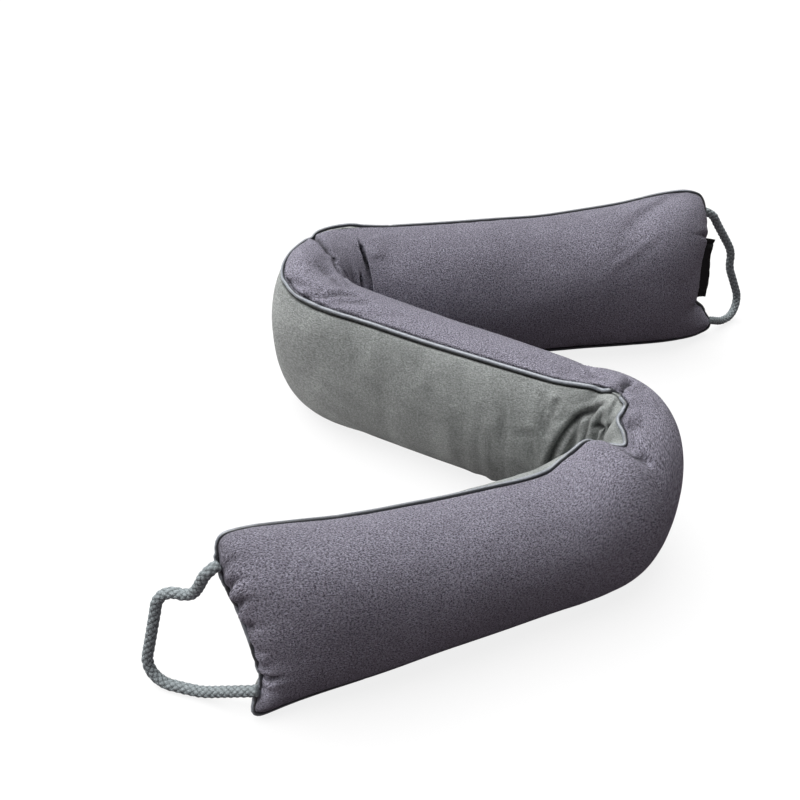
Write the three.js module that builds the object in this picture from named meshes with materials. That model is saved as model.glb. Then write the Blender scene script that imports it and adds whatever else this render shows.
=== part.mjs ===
import * as THREE from "three";

// A draught excluder: a long filled tube of two cloths, sewn together all round with piping in the
// seam, a rope loop and puckers at each end and a bare tab in one end seam. It lies on the floor
// bent in an S and stands on its long side. Millimetres, +Z up, the front cloth faces -Y.

const cushionLength = 920; // end seam to end seam along the middle
const firstHeading = 21.2; // degrees from +X at the left end
const ovalPower = 2.4; // 2 is an ellipse, more is squarer
const endSwell = 70; // the flat end seam swells to the full section over this
const clothWidth = 150; // each cloth from seam to seam
const endCloth = 4; // both cloths together at the end seam
const pressedFlat = 2.5; // how far the base is pressed flat by the floor
const baseLean = 23; // degrees that the bottom seam is rolled to the front, clear of the floor
const seamGroove = 1.6; // the stitching draws the cloth in along the seam
const pipingDiameter = 3;
const ropeDiameter = 6.6;
const ropePitch = 12; // one turn of the plait
const ropeStep = 3;
const ropeRelief = 0.09; // raised strands, share of the radius
const gap = 0.3; // between two pieces
const endTrim = pipingDiameter + gap + 0.4; // the piping's share of the length and height at each end
const tab = { along: 55, out: 10, thick: 0.9, middle: 63.5, curl: 1.6 }; // middle: height above the floor

// The bends of the middle line: where each is, over what length it turns and how far (left is +).
const bends = [
  { name: "right bend", at: 277, over: 106, turn: 120.3 },
  { name: "left bend", at: 569, over: 137, turn: -148 },
];

// The slight sweep of each run between the bends.
const sweeps = [
  { name: "front run", from: 0, to: 277, turn: 2.3 },
  { name: "middle run", from: 277, to: 569, turn: 11.3 },
  { name: "rear run", from: 569, to: 920, turn: 1.9 },
];

// Sections square to the middle line: height, and reach of the front and the back cloth.
const sections = [
  { at: 0, height: 123.5, front: 37.5, back: 37.5 },
  { at: 20, height: 122, front: 37.5, back: 37.5 },
  { at: 45, height: 116.5, front: 37.5, back: 37.5 },
  { at: 70, height: 111, front: 37.5, back: 37.5 },
  { at: 140, height: 103.5, front: 38, back: 37 },
  { at: 200, height: 101.5, front: 38, back: 37 },
  { at: 217, height: 108, front: 39, back: 35 },
  { at: 242, height: 117, front: 38.5, back: 30 },
  { at: 277, height: 120.5, front: 35.5, back: 26 },
  { at: 315, height: 119, front: 39.5, back: 31 },
  { at: 350, height: 116.5, front: 38, back: 37 },
  { at: 430, height: 115.5, front: 38.5, back: 41.5 },
  { at: 500, height: 119.5, front: 38, back: 43 },
  { at: 540, height: 125, front: 31, back: 42.5 },
  { at: 569, height: 129, front: 26, back: 40.5 },
  { at: 600, height: 127, front: 31, back: 41 },
  { at: 640, height: 122, front: 37, back: 38 },
  { at: 750, height: 122, front: 38, back: 38 },
  { at: 830, height: 128.5, front: 41, back: 38 },
  { at: 885, height: 137, front: 45, back: 38 },
  { at: 905, height: 133.5, front: 45.5, back: 38 },
  { at: 920, height: 126, front: 45.5, back: 38 },
];

// The lean of the top seam to the back, in degrees. It is pushed out of line in the right bend.
const seamLean = [
  { at: 0, lean: 23 },
  { at: 70, lean: 19 },
  { at: 150, lean: 14 },
  { at: 188, lean: 11 },
  { at: 214, lean: 16 },
  { at: 236, lean: 20.5 },
  { at: 246, lean: 17 },
  { at: 256, lean: 9 },
  { at: 265, lean: 11 },
  { at: 275, lean: 17.5 },
  { at: 290, lean: 8 },
  { at: 304, lean: 9.5 },
  { at: 322, lean: 13 },
  { at: 350, lean: 17 },
  { at: 430, lean: 21 },
  { at: 500, lean: 23 },
  { at: 545, lean: 27 },
  { at: 562, lean: 28 },
  { at: 578, lean: 25 },
  { at: 592, lean: 17 },
  { at: 608, lean: 12 },
  { at: 640, lean: 11 },
  { at: 800, lean: 11 },
  { at: 850, lean: 10.5 },
  { at: 880, lean: 9 },
  { at: 905, lean: 8 },
  { at: 920, lean: 11 },
];

// The outline of each end seam: how far in from the end it lies, at -1 the bottom and 1 the top.
const leftOutline = [
  { at: -1, inset: -3 },
  { at: -0.88, inset: -3 },
  { at: -0.72, inset: 3.5 },
  { at: -0.55, inset: 9 },
  { at: -0.25, inset: 7.5 },
  { at: 0.2, inset: 4 },
  { at: 0.6, inset: -0.5 },
  { at: 1, inset: -1 },
];
const rightOutline = [
  { at: -1, inset: -12 },
  { at: -0.85, inset: -11 },
  { at: -0.6, inset: 1 },
  { at: -0.4, inset: 11.5 },
  { at: -0.15, inset: 10.5 },
  { at: 0.2, inset: 12 },
  { at: 0.6, inset: 9.5 },
  { at: 1, inset: 12 },
];

// Each end: the rounding of its corners, its outline and the puckers beside it, their number, height
// and shift.
const ends = [
  { name: "left end", corner: 12, outline: leftOutline, puckers: 5, pucker: 2.4, shift: 0.1 },
  { name: "right end", corner: 19, outline: rightOutline, puckers: 4, pucker: 1.6, shift: 0.3 },
];
const puckerLength = 28;

// Main folds: on which cloth, from where to where along the middle line and round the section (0 top
// seam, 1 bottom seam, less than 0 past the seam), how deep and how wide.
const folds = [
  { cloth: "back", at: 232, from: 0.08, atEnd: 238, to: 0.6, depth: 3, width: 6 },
  { cloth: "back", at: 254, from: -0.06, atEnd: 262, to: 0.85, depth: 6.5, width: 8 },
  { cloth: "back", at: 278, from: 0.14, atEnd: 280, to: 0.85, depth: 7, width: 6 },
  { cloth: "back", at: 297, from: 0.16, atEnd: 300, to: 0.75, depth: 5, width: 5 },
  { cloth: "back", at: 312, from: 0.03, atEnd: 336, to: 0.5, depth: 7, width: 6 },
  { cloth: "back", at: 352, from: 0.12, atEnd: 356, to: 0.7, depth: 2, width: 6 },
  { cloth: "back", at: 374, from: 0.15, atEnd: 376, to: 0.7, depth: 1.5, width: 7 },
  { cloth: "front", at: 305, from: 0.06, atEnd: 303, to: 0.32, depth: 3, width: 6 },
  { cloth: "front", at: 246, from: 0.16, atEnd: 252, to: 0.34, depth: 2.5, width: 6 },
  { cloth: "front", at: 584, from: 0.05, atEnd: 570, to: 0.31, depth: 4, width: 6 },
  { cloth: "front", at: 556, from: 0.34, atEnd: 516, to: 0.22, depth: 4, width: 7 },
  { cloth: "front", at: 568, from: 0.36, atEnd: 568, to: 0.85, depth: 8, width: 6 },
  { cloth: "front", at: 548, from: 0.36, atEnd: 546, to: 0.75, depth: 5, width: 6 },
  { cloth: "front", at: 588, from: 0.36, atEnd: 590, to: 0.8, depth: 6, width: 6 },
  { cloth: "front", at: 612, from: 0.28, atEnd: 614, to: 0.8, depth: 7, width: 5 },
  { cloth: "front", at: 526, from: 0.03, atEnd: 511, to: 0.16, depth: 2, width: 5 },
];

// The routes of the rope loops from the top of each end seam to its bottom, out, down and along the
// floor, measured from the middle of the part's base.
const leftRoute = [
  { x: -189.5, y: -178.1, z: 92.4 },
  { x: -193.9, y: -178.2, z: 87.1 },
  { x: -196.8, y: -177.3, z: 80.8 },
  { x: -199.8, y: -176.5, z: 74.5 },
  { x: -203.7, y: -175.3, z: 68.9 },
  { x: -209.8, y: -173.5, z: 66.1 },
  { x: -215.6, y: -171.9, z: 65.6 },
  { x: -221.8, y: -171.1, z: 62.6 },
  { x: -225.9, y: -171.8, z: 57.1 },
  { x: -227.7, y: -173.3, z: 50.5 },
  { x: -229.4, y: -175, z: 43.9 },
  { x: -231.1, y: -176.6, z: 37.3 },
  { x: -232.8, y: -178.2, z: 30.7 },
  { x: -234.5, y: -179.8, z: 24.1 },
  { x: -236, y: -181.5, z: 17.5 },
  { x: -235, y: -183.9, z: 11.1 },
  { x: -231, y: -186.7, z: 6.1 },
  { x: -225.1, y: -189.3, z: 3.8 },
  { x: -218.4, y: -191.4, z: 3.9 },
  { x: -211.7, y: -193.3, z: 4.2 },
  { x: -205, y: -195.3, z: 5 },
  { x: -198.5, y: -197.1, z: 7 },
  { x: -192.3, y: -198.8, z: 9.8 },
  { x: -186.1, y: -200.5, z: 12.5 },
  { x: -179.9, y: -202.2, z: 15.3 },
  { x: -173.7, y: -203.9, z: 18 },
];
const rightRoute = [
  { x: 171.2, y: 194.7, z: 110.3 },
  { x: 176.9, y: 196.4, z: 106 },
  { x: 181, y: 197.7, z: 100 },
  { x: 185.1, y: 199, z: 93.9 },
  { x: 189.3, y: 200.3, z: 87.9 },
  { x: 193.4, y: 201.7, z: 81.9 },
  { x: 197.6, y: 203, z: 75.8 },
  { x: 201.3, y: 204.2, z: 69.5 },
  { x: 203.6, y: 204.9, z: 62.5 },
  { x: 204.5, y: 205.1, z: 55.1 },
  { x: 206.5, y: 205.4, z: 48 },
  { x: 209.7, y: 205.9, z: 41.3 },
  { x: 212.9, y: 206.3, z: 34.6 },
  { x: 216.1, y: 206.7, z: 27.9 },
  { x: 218.8, y: 206.6, z: 21.1 },
  { x: 219.1, y: 204.4, z: 14 },
  { x: 216.7, y: 200.3, z: 8.4 },
  { x: 212.2, y: 195.4, z: 5.3 },
  { x: 206.6, y: 190.6, z: 5.4 },
  { x: 200.9, y: 186, z: 6.8 },
  { x: 195.8, y: 181.6, z: 9.9 },
  { x: 190.7, y: 177.3, z: 13.2 },
];

// Steps along the cushion, finer at the ends and in the bends.
const spans = [
  { to: 6, step: 1.4 },
  { to: 19, step: 4.2 },
  { to: 47, step: 8 },
  { to: 215, step: 14 },
  { to: 345, step: 5.5 },
  { to: 505, step: 14 },
  { to: 630, step: 5.5 },
  { to: 873, step: 14 },
  { to: 901, step: 8 },
  { to: 914, step: 4.2 },
  { to: cushionLength - endTrim, step: 1.4 },
];

// Steps round each cloth from the top seam, finer beside the seams.
const roundSteps = [0, 0.035, 0.085, 0.15, 0.23, 0.32, 0.41, 0.5, 0.59, 0.68, 0.77, 0.85, 0.915, 0.965];

const radians = Math.PI / 180;

function ease(share) {
  const u = Math.min(Math.max(share, 0), 1);
  return u * u * (3 - 2 * u);
}

function headingAt(s) {
  let turn = firstHeading;
  for (const bend of bends) turn += bend.turn * ease((s - bend.at) / bend.over + 0.5);
  for (const sweep of sweeps) {
    turn += sweep.turn * Math.min(Math.max((s - sweep.from) / (sweep.to - sweep.from), 0), 1);
  }
  return turn * radians;
}

// The middle line, added up in short steps from the left end.
const lineStep = 0.5;
const linePoints = [{ x: 0, y: 0 }];
for (let i = 0; i * lineStep < cushionLength; i += 1) {
  const heading = headingAt((i + 0.5) * lineStep);
  const last = linePoints[i];
  linePoints.push({ x: last.x + lineStep * Math.cos(heading), y: last.y + lineStep * Math.sin(heading) });
}

function linePoint(s) {
  const i = Math.min(Math.floor(s / lineStep), linePoints.length - 2);
  const share = s / lineStep - i;
  const a = linePoints[i];
  const b = linePoints[i + 1];
  return { x: a.x + (b.x - a.x) * share, y: a.y + (b.y - a.y) * share };
}

// Smooth interpolation of one column of a table between its rows, with no overshoot.
function column(rows, name, at) {
  let i = 0;
  while (i < rows.length - 2 && at > rows[i + 1].at) i += 1;
  const rise = (j) => (rows[j + 1][name] - rows[j][name]) / (rows[j + 1].at - rows[j].at);
  const slope = (j) => {
    if (j <= 0 || j >= rows.length - 1 || rise(j - 1) * rise(j) <= 0) return 0;
    return (2 * rise(j - 1) * rise(j)) / (rise(j - 1) + rise(j));
  };
  const wide = rows[i + 1].at - rows[i].at;
  const u = (at - rows[i].at) / wide;
  const bulge = u * (1 - u) * ((1 - u) * slope(i) - u * slope(i + 1)) * wide;
  return rows[i][name] + (rows[i + 1][name] - rows[i][name]) * ease(u) + bulge;
}

function oval(angle, height, front, back) {
  const c = Math.cos(angle);
  const s = Math.sin(angle);
  const reach = (Math.abs(c) ** ovalPower + Math.abs(s) ** ovalPower) ** (-1 / ovalPower);
  return { across: reach * s * (s > 0 ? back : front), up: (height / 2) * reach * c };
}

function foldDepth(s, cloth, share) {
  let depth = 0;
  for (const fold of folds) {
    const along = fold.atEnd - fold.at;
    const round = (fold.to - fold.from) * clothWidth;
    const x = s - fold.at;
    const y = ((fold.cloth === cloth ? share : -share) - fold.from) * clothWidth;
    const u = Math.min(Math.max((x * along + y * round) / (along ** 2 + round ** 2), 0), 1);
    const distance = Math.hypot(x - u * along, y - u * round);
    depth += fold.depth * Math.exp(-((distance / fold.width) ** 2));
  }
  return depth;
}

// A point of the filled cover: s along the middle line, share round one cloth from the top seam.
function coverPoint(s, cloth, share) {
  const height = column(sections, "height", s);
  const lean = column(seamLean, "lean", s) * radians;
  const front = column(sections, "front", s);
  const back = column(sections, "back", s);
  const end = s < cushionLength / 2 ? ends[0] : ends[1];
  const inward = s < cushionLength / 2 ? 1 : -1;
  const fromEnd = Math.max(Math.min(s, cushionLength - s) - endTrim, 0);
  const near = 1 - Math.min(fromEnd / endSwell, 1);
  const swell = Math.sqrt(1 - near * near);
  const corner = Math.max(end.corner - fromEnd, 0);
  const rounding = end.corner - Math.sqrt(end.corner ** 2 - corner ** 2);
  const flatHeight = height - 2 * (rounding + endTrim);
  const angle = cloth === "front" ? Math.PI * share : -Math.PI * share;

  const topSeam = Math.atan((Math.tan(lean) * height) / 2 / back);
  const bottomSeam = Math.atan((Math.tan(baseLean * radians) * height) / 2 / front);
  const full = oval(topSeam - angle + (bottomSeam - topSeam) * share, height, front, back);
  const flatUp = (flatHeight / 2) * Math.cos(angle);
  const flatOut = -(endCloth / 2) * Math.sin(angle);
  const flat = {
    across: Math.sin(lean) * flatUp + Math.cos(lean) * flatOut,
    up: Math.cos(lean) * flatUp - Math.sin(lean) * flatOut,
  };
  let across = flat.across * (1 - swell) + full.across * swell;
  let up = flat.up * (1 - swell) + full.up * swell;

  const seam = seamGroove * Math.exp(-((Math.min(share, 1 - share) / 0.02) ** 2)) * ease(fromEnd / 10);
  const wave = Math.cos(2 * Math.PI * (end.puckers * share + end.shift)) * Math.sin(Math.PI * share);
  const pucker = end.pucker * wave * ease(fromEnd / 8) * (1 - ease(fromEnd / puckerLength));
  const side = cloth === "front" ? -1 : 1;
  across += side * pucker * Math.cos(lean);
  up -= side * pucker * Math.sin(lean);
  const inset = 1 - (seam + foldDepth(s, cloth, share)) / Math.hypot(across, up);
  across *= inset;
  up *= inset;

  const middle = (height / 2) * (Math.cos(lean) * (1 - swell) + swell);
  const z = Math.max(up + middle - pressedFlat * swell, 0);
  const level = Math.min(Math.max((z - middle) / middle, -1), 1);
  const along = inward * column(end.outline, "inset", level) * near * near;
  const heading = headingAt(s);
  const p = linePoint(s);
  return new THREE.Vector3(
    p.x - Math.sin(heading) * across + Math.cos(heading) * along,
    p.y + Math.cos(heading) * across + Math.sin(heading) * along,
    z,
  );
}

function stationList() {
  const list = [endTrim];
  for (const span of spans) {
    const from = list[list.length - 1];
    const count = Math.max(Math.round((span.to - from) / span.step), 1);
    for (let i = 1; i <= count; i += 1) list.push(from + ((span.to - from) * i) / count);
  }
  return list;
}

function meshFrom(name, points, triangles, colour, roughness) {
  const geometry = new THREE.BufferGeometry();
  const numbers = points.flatMap((p) => [p.x, p.y, p.z]);
  geometry.setAttribute("position", new THREE.Float32BufferAttribute(numbers, 3));
  geometry.setIndex(triangles);
  geometry.computeVertexNormals();
  const material = new THREE.MeshStandardMaterial({ color: colour, roughness, metalness: 0 });
  const mesh = new THREE.Mesh(geometry, material);
  mesh.name = name;
  return mesh;
}

// The filled cover, ring by ring, closed at each end along the end seam.
const stations = stationList();
const half = roundSteps.length;
const ringSize = 2 * half;

function filledCover() {
  const points = [];
  const triangles = [];
  for (const s of stations) {
    for (const share of roundSteps) points.push(coverPoint(s, "front", share));
    for (const share of roundSteps) points.push(coverPoint(s, "back", 1 - share));
  }
  const quad = (a, b, c, d) => triangles.push(a, b, c, a, c, d);
  for (let i = 0; i + 1 < stations.length; i += 1) {
    for (let j = 0; j < ringSize; j += 1) {
      const next = (j + 1) % ringSize;
      const here = i * ringSize;
      quad(here + j, here + next, here + ringSize + next, here + ringSize + j);
    }
  }
  for (const [ring, flip] of [[0, false], [(stations.length - 1) * ringSize, true]]) {
    for (let j = 0; j < half; j += 1) {
      const front = ring + j;
      const back = ring + ((ringSize - j) % ringSize);
      const frontNext = front + 1;
      const backNext = ring + ringSize - j - 1;
      const face = flip ? [front, frontNext, backNext, back] : [front, back, backNext, frontNext];
      const distinct = face.filter((v, k) => face.indexOf(v) === k);
      for (let k = 1; k + 1 < distinct.length; k += 1) {
        triangles.push(distinct[0], distinct[k], distinct[k + 1]);
      }
    }
  }
  return meshFrom("filled_cover", points, triangles, 0x8f8380, 0.95);
}

// A closed or open tube of rings along a path, with its own radius at each step and angle.
function tube(name, path, closed, sides, radiusAt, colour, roughness) {
  const points = [];
  const triangles = [];
  const count = path.length;
  let side = null;
  for (let i = 0; i < count; i += 1) {
    const before = path[closed ? (i + count - 1) % count : Math.max(i - 1, 0)];
    const after = path[closed ? (i + 1) % count : Math.min(i + 1, count - 1)];
    const along = after.clone().sub(before).normalize();
    if (side === null) side = new THREE.Vector3(0, 1, 0).cross(along);
    side.addScaledVector(along, -side.dot(along)).normalize();
    const up = along.clone().cross(side);
    for (let j = 0; j < sides; j += 1) {
      const angle = (2 * Math.PI * j) / sides;
      const radius = radiusAt(i, angle);
      const p = path[i].clone();
      p.addScaledVector(side, radius * Math.cos(angle)).addScaledVector(up, radius * Math.sin(angle));
      points.push(p);
    }
  }
  const join = (a, b, turn) => {
    for (let j = 0; j < sides; j += 1) {
      const next = (j + 1) % sides;
      const c = b + ((next + turn) % sides);
      const d = b + ((j + turn) % sides);
      triangles.push(a + j, a + next, c, a + j, c, d);
    }
  };
  for (let i = 0; i + 1 < count; i += 1) join(i * sides, (i + 1) * sides, 0);
  if (closed) {
    let turn = 0;
    let nearest = Infinity;
    for (let j = 0; j < sides; j += 1) {
      const distance = points[j].distanceTo(points[(count - 1) * sides]);
      if (distance < nearest) {
        nearest = distance;
        turn = j;
      }
    }
    join((count - 1) * sides, 0, turn);
  } else {
    for (const [ring, flip] of [[0, true], [(count - 1) * sides, false]]) {
      const middle = points.length;
      points.push(path[flip ? 0 : count - 1].clone());
      for (let j = 0; j < sides; j += 1) {
        const next = (j + 1) % sides;
        if (flip) triangles.push(middle, ring + next, ring + j);
        else triangles.push(middle, ring + j, ring + next);
      }
    }
  }
  return meshFrom(name, points, triangles, colour, roughness);
}

// The line of each end seam from top to bottom: the middle of its cloth, the way out of the cushion
// square to the seam, and the way across from the front cloth to the back cloth.
function endLine(atRight) {
  const s = atRight ? cushionLength - endTrim : endTrim;
  const fronts = roundSteps.map((share) => coverPoint(s, "front", share));
  const backs = roundSteps.map((share) => coverPoint(s, "back", share));
  const middles = fronts.map((p, i) => p.clone().add(backs[i]).multiplyScalar(0.5));
  middles.push(coverPoint(s, "front", 1));
  return middles.slice(1, -1).map((at, i) => {
    const down = middles[i + 2].clone().sub(middles[i]).normalize();
    const across = backs[i + 1].clone().sub(fronts[i + 1]).normalize();
    const out = down.clone().cross(across).normalize();
    if (!atRight) out.negate();
    return { at, out, across, down };
  });
}

// The piping follows the top seam, the right end seam, the bottom seam and the left end seam.
function pipingPath(cover) {
  const position = cover.geometry.getAttribute("position");
  const normal = cover.geometry.getAttribute("normal");
  const offset = pipingDiameter / 2 + gap + 0.1;
  const onSeam = (i, j) => {
    const p = new THREE.Vector3().fromBufferAttribute(position, i * ringSize + j);
    const n = new THREE.Vector3().fromBufferAttribute(normal, i * ringSize + j);
    return p.addScaledVector(n, offset);
  };
  const last = stations.length - 1;
  const [left, right] = [false, true].map((atRight) => {
    return endLine(atRight).map((row) => row.at.clone().addScaledVector(row.out, offset));
  });
  const top = [];
  const bottom = [];
  for (let i = 1; i < last; i += 1) {
    top.push(onSeam(i, 0));
    bottom.push(onSeam(last - i, half));
  }
  return [...top, ...right, ...bottom, ...left.reverse()];
}

// The end seam at a height above the floor.
function endSeamAt(rows, height) {
  let i = 0;
  while (i < rows.length - 2 && rows[i + 1].at.z > height) i += 1;
  const share = (rows[i].at.z - height) / (rows[i].at.z - rows[i + 1].at.z);
  const mix = (name) => rows[i][name].clone().lerp(rows[i + 1][name], share);
  return { at: mix("at"), out: mix("out").normalize(), across: mix("across").normalize() };
}

// The bare tab, sewn into the right end seam in front of the piping.
function bareTab() {
  const seamRows = endLine(true);
  const rowCount = 7;
  const columnCount = 4;
  const points = [];
  const triangles = [];
  for (const back of [0, 1]) {
    for (let i = 0; i < rowCount; i += 1) {
      const height = tab.middle + tab.along * (0.5 - i / (rowCount - 1));
      const seam = endSeamAt(seamRows, height);
      for (let j = 0; j < columnCount; j += 1) {
        const share = j / (columnCount - 1);
        const front = pipingDiameter / 2 + gap + 0.15 + (back ? 0 : tab.thick) + tab.curl * share * share;
        const p = seam.at.clone().addScaledVector(seam.out, 0.8 + tab.out * share);
        points.push(p.addScaledVector(seam.across, -front));
      }
    }
  }
  const sheet = rowCount * columnCount;
  const at = (back, i, j) => back * sheet + i * columnCount + j;
  const quad = (a, b, c, d) => triangles.push(a, b, c, a, c, d);
  for (let i = 0; i + 1 < rowCount; i += 1) {
    for (let j = 0; j + 1 < columnCount; j += 1) {
      quad(at(0, i, j), at(0, i + 1, j), at(0, i + 1, j + 1), at(0, i, j + 1));
      quad(at(1, i, j), at(1, i, j + 1), at(1, i + 1, j + 1), at(1, i + 1, j));
    }
    const last = columnCount - 1;
    quad(at(0, i, 0), at(1, i, 0), at(1, i + 1, 0), at(0, i + 1, 0));
    quad(at(0, i, last), at(0, i + 1, last), at(1, i + 1, last), at(1, i, last));
  }
  for (let j = 0; j + 1 < columnCount; j += 1) {
    const last = rowCount - 1;
    quad(at(0, 0, j), at(0, 0, j + 1), at(1, 0, j + 1), at(1, 0, j));
    quad(at(0, last, j), at(1, last, j), at(1, last, j + 1), at(0, last, j + 1));
  }
  return meshFrom("bare_tab", points, triangles, 0x17161a, 0.8);
}

// A plaited rope along its route, four strands raised in turn.
function plaitedRope(name, route) {
  const points = route.map((p) => new THREE.Vector3(p.x, p.y, p.z));
  const curve = new THREE.CatmullRomCurve3(points, false, "centripetal");
  const steps = Math.round(curve.getLength() / ropeStep);
  const path = curve.getSpacedPoints(steps);
  const along = curve.getLength() / steps;
  const radiusAt = (i, angle) => {
    const strand = Math.cos(2 * angle) * Math.cos((2 * Math.PI * i * along) / ropePitch);
    return (ropeDiameter / 2) * (1 + ropeRelief * strand);
  };
  return tube(name, path, false, 10, radiusAt, 0x7d8784, 0.9);
}

const cover = filledCover();
const piping = tube("piping", pipingPath(cover), true, 6, () => pipingDiameter / 2, 0x4c4f55, 0.7);
const label = bareTab();

// The part stands on the floor with the middle of its base at the origin, measured without the ropes.
const part = new THREE.Group();
part.name = "draught_excluder";
part.add(cover, piping, label);
const middle = new THREE.Box3().setFromObject(part).getCenter(new THREE.Vector3());
for (const mesh of part.children) mesh.geometry.translate(-middle.x, -middle.y, 0);
part.add(plaitedRope("left_rope", leftRoute), plaitedRope("right_rope", rightRoute));
export default part;
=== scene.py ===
import math
import bpy
import numpy as np
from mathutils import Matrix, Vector, noise
from mathutils.kdtree import KDTree


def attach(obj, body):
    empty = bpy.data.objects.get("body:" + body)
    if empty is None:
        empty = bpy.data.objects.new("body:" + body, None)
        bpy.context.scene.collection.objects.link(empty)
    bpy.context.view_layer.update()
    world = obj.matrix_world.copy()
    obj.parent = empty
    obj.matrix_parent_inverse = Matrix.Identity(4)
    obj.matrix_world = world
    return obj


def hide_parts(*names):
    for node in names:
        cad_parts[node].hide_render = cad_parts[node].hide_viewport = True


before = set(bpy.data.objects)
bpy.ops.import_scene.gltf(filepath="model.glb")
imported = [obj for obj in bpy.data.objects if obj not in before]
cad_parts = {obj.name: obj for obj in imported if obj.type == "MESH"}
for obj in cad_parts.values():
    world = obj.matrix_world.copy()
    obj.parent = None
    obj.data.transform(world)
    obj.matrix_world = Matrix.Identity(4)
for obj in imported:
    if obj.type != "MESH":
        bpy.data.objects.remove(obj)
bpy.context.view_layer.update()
mm = 0.001
print("frame loaded")


# camera, floor and light, in metres
cameraSet = {
    "lookAt": (-0.0875, 0.0811, 0.0), "pitch": 39.08, "distance": 0.76083,
    "lens": 41.785, "sensor": 36,
}
floorSet = {
    "size": 6.0,
    "seen": (0.14, 0.14, 0.14),
    "glow": 0.84,  # only for the camera, so that the shadow stays faint
    "bounced": (0.200, 0.175, 0.185),
    "bouncedLeft": (0.60, 0.58, 0.58),  # more light comes back up beside the green cloth
    "leftOf": (0.02, -0.12),
    "behind": (-0.15, -0.06),
    "roughness": 0.9,
    "gloss": 0.1,
}
lightSet = {
    "overhead": {"from": (-0.35, 0.25, 1.0), "spread": 70, "strength": 5.5},
    "fill": {"from": (-1.0, -0.34, 0.16), "spread": 50, "strength": 0.22},
    "room": (1.0, 0.93, 0.98),
    "roomStrength": 0.08,
    "backdrop": (1.0, 1.0, 1.0),  # what the camera sees past the floor
}


def newObject(name, data):
    obj = bpy.data.objects.new(name, data)
    bpy.context.scene.collection.objects.link(obj)
    return obj


def newMesh(name, points, faces, edges=()):
    mesh = bpy.data.meshes.new(name)
    mesh.from_pydata([tuple(p) for p in points], edges, faces)
    mesh.update()
    return newObject(name, mesh)


def nearestOf(points):
    tree = KDTree(len(points))
    for k, point in enumerate(points):
        tree.insert(point, k)
    tree.balance()
    return tree


def setInputs(tree, node, values):  # a socket is linked, anything else is set
    for name, value in values.items():
        if isinstance(value, bpy.types.NodeSocket):
            tree.links.new(value, node.inputs[name])
        else:
            node.inputs[name].default_value = value
    return node


def addNode(tree, kind, inputs=None, **settings):
    node = tree.nodes.new(kind)
    for name, value in settings.items():
        setattr(node, name, value)
    return setInputs(tree, node, inputs or {})


def mixColours(tree, share, first, second, blend="MIX"):
    mix = addNode(tree, "ShaderNodeMix", data_type="RGBA", blend_type=blend)
    return setInputs(tree, mix, {0: share, 6: first, 7: second}).outputs[2]


def mathNode(tree, operation, first, second=0.0):
    return addNode(tree, "ShaderNodeMath", {0: first, 1: second}, operation=operation).outputs[0]


def pointValues(mesh, name, values):  # a number or a place for each point of a mesh
    values = np.asarray(values, np.float32)
    kind, field = ("FLOAT_VECTOR", "vector") if values.ndim == 2 else ("FLOAT", "value")
    mesh.attributes.new(name, kind, "POINT").data.foreach_set(field, values.reshape(-1))


def tubeFaces(alongCount, ringSize):
    i, j = np.meshgrid(np.arange(alongCount - 1), np.arange(ringSize), indexing="ij")
    a, b = i * ringSize + j, i * ringSize + (j + 1) % ringSize
    return np.stack([a, b, b + ringSize, a + ringSize], -1).reshape(-1, 4).tolist()


def unit(ways):
    return ways / np.maximum(np.linalg.norm(ways, axis=-1, keepdims=True), 1e-9)


def shadeSmooth(mesh):
    mesh.polygons.foreach_set("use_smooth", np.ones(len(mesh.polygons), bool))


def newMaterial(name):
    material = bpy.data.materials.new(name)
    material.use_nodes = True
    return material, material.node_tree, material.node_tree.nodes["Principled BSDF"]


def setCamera():
    camera = newObject("camera", bpy.data.cameras.new("camera"))
    camera.data.lens = cameraSet["lens"]
    camera.data.sensor_width = cameraSet["sensor"]
    pitch = math.radians(cameraSet["pitch"])
    away = Vector((0, -math.cos(pitch), math.sin(pitch)))
    camera.location = Vector(cameraSet["lookAt"]) + cameraSet["distance"] * away
    camera.rotation_euler = (math.pi / 2 - pitch, 0, 0)
    bpy.context.scene.camera = camera


def setFloor():
    half = floorSet["size"] / 2
    corners = [(-half, -half, 0), (half, -half, 0), (half, half, 0), (-half, half, 0)]
    floor = newMesh("floor", corners, [(0, 1, 2, 3)])
    material, tree, shader = newMaterial("paleFloor")
    toCamera = addNode(tree, "ShaderNodeLightPath").outputs["Is Camera Ray"]
    onFloor = addNode(tree, "ShaderNodeTexCoord").outputs["Object"]
    place = addNode(tree, "ShaderNodeSeparateXYZ", {0: onFloor}).outputs
    beside = []
    for axis, name in (("X", "leftOf"), ("Y", "behind")):
        start, end = floorSet[name]
        span = {"Value": place[axis], "From Min": start, "From Max": end}
        beside.append(addNode(tree, "ShaderNodeMapRange", span, interpolation_type="SMOOTHSTEP").outputs[0])
    share = mathNode(tree, "MULTIPLY", *beside)
    bounce = mixColours(tree, share, (*floorSet["bounced"], 1), (*floorSet["bouncedLeft"], 1))
    setInputs(tree, shader, {
        "Base Color": mixColours(tree, toCamera, bounce, (*floorSet["seen"], 1)),
        "Emission Color": (1, 1, 1, 1),
        "Emission Strength": mathNode(tree, "MULTIPLY", toCamera, floorSet["glow"]),
        "Roughness": floorSet["roughness"], "Specular IOR Level": floorSet["gloss"],
    })
    floor.data.materials.append(material)


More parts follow.
